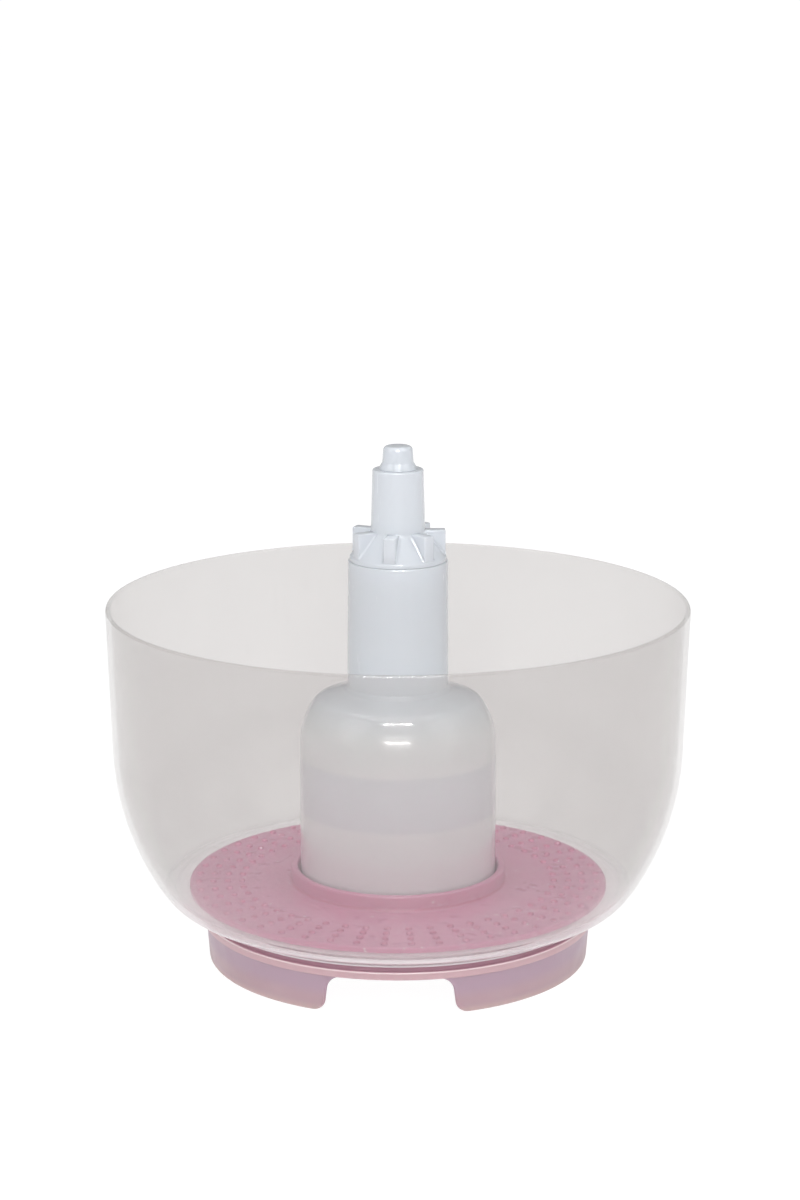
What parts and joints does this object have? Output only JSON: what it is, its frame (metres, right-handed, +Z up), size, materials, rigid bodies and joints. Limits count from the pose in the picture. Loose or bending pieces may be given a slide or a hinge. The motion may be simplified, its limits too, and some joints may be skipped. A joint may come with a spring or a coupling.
{
  "type": "brush cleaner",
  "caption": "Powered brush cleaner: clear wash bowl, lift-out scrub disc, central drive column with a finned turning head, footed base.",
  "frame": {"origin": "on the axis of the bowl, at the level of the surface that the feet stand on", "axes": "+Z up along the axis of the bowl, -Y towards the front, where the switch and one cut-out of the base are"},
  "size_m": [0.2, 0.2, 0.18],
  "materials": {
    "clear_bowl": "clear polypropylene, slightly frosted",
    "seal_rubber": "soft silicone",
    "pink_disc": "soft satin",
    "milky_white": "glossy, slightly translucent",
    "bronze": "oiled sintered",
    "steel": "ground",
    "gear_plastic": "moulded acetal",
    "brass": "machined",
    "inner_plastic": "moulded",
    "motor_steel": "zinc plated",
    "magnet": "ferrite",
    "tray_plastic": "moulded",
    "cell_wrap": "plain sleeve",
    "spring_steel": "nickel plated",
    "pink_base": "satin, slightly translucent",
    "foot_rubber": "soft",
    "switch_black": "moulded",
    "button_white": "moulded",
    "wire_red": "insulated lead"
  },
  "bodies": {
    "base": {"bowl": "clear_bowl", "bowl_gasket": "seal_rubber", "column_shell": "milky_white", "upper_bush": "bronze", "shaft_seal": "seal_rubber", "idler_axle": "steel", "gear_plate_lower": "inner_plastic", "gear_plate_upper": "inner_plastic", "lower_bush": "bronze", "gearbox_screws": "steel", "plate_screws": "steel", "motor_can": "motor_steel", "motor_magnets": "magnet", "motor_end_cap": "inner_plastic", "motor_screws": "steel", "battery_tray": "tray_plastic", "battery_cells": "cell_wrap", "battery_springs": "spring_steel", "top_contacts": "spring_steel", "bottom_contacts": "spring_steel", "contact_carrier": "tray_plastic", "base_ring": "pink_base", "foot_pads": "foot_rubber", "base_screws": "steel", "switch_body": "switch_black", "switch_screws": "steel", "lead_wires": "wire_red"},
    "disc": {"scrub_disc": "pink_disc"},
    "head": {"drive_head": "milky_white", "head_cap": "milky_white", "drive_shaft": "steel", "output_gear": "gear_plastic"},
    "idler": {"idler_gear": "gear_plastic"},
    "rotor": {"motor_rotor": "steel", "motor_pinion": "brass"},
    "door": {"battery_door": "pink_base", "door_seal": "seal_rubber"},
    "button": {"switch_button": "button_white"}
  },
  "joints": [
    {"name": "disc_lift", "type": "slide", "parent": "base", "child": "disc", "axis": [0, 0, 1], "range_m": [0, 0.16]},
    {"name": "head_spin", "type": "hinge", "parent": "base", "child": "head", "pos_m": [0, 0, 0.14], "axis": [0, 0, 1], "continuous": true},
    {"name": "idler_spin", "type": "hinge", "parent": "base", "child": "idler", "pos_m": [0, 0.015, 0.08], "axis": [0, 0, 1], "continuous": true},
    {"name": "rotor_spin", "type": "hinge", "parent": "base", "child": "rotor", "pos_m": [0, 0, 0.06], "axis": [0, 0, 1], "continuous": true},
    {"name": "door_turn", "type": "hinge", "parent": "base", "child": "door", "pos_m": [0, 0, 0.005], "axis": [0, 0, 1], "range_deg": [-35, 0]},
    {"name": "button_press", "type": "slide", "parent": "base", "child": "button", "axis": [0, 0, 1], "range_m": [0, 0.002], "stiffness_N_per_m": 400, "springref_m": -0.002}
  ],
  "couplings": [
    {"joint": "idler_spin", "follows": "head_spin", "ratio": -4},
    {"joint": "rotor_spin", "follows": "head_spin", "ratio": 16}
  ]
}
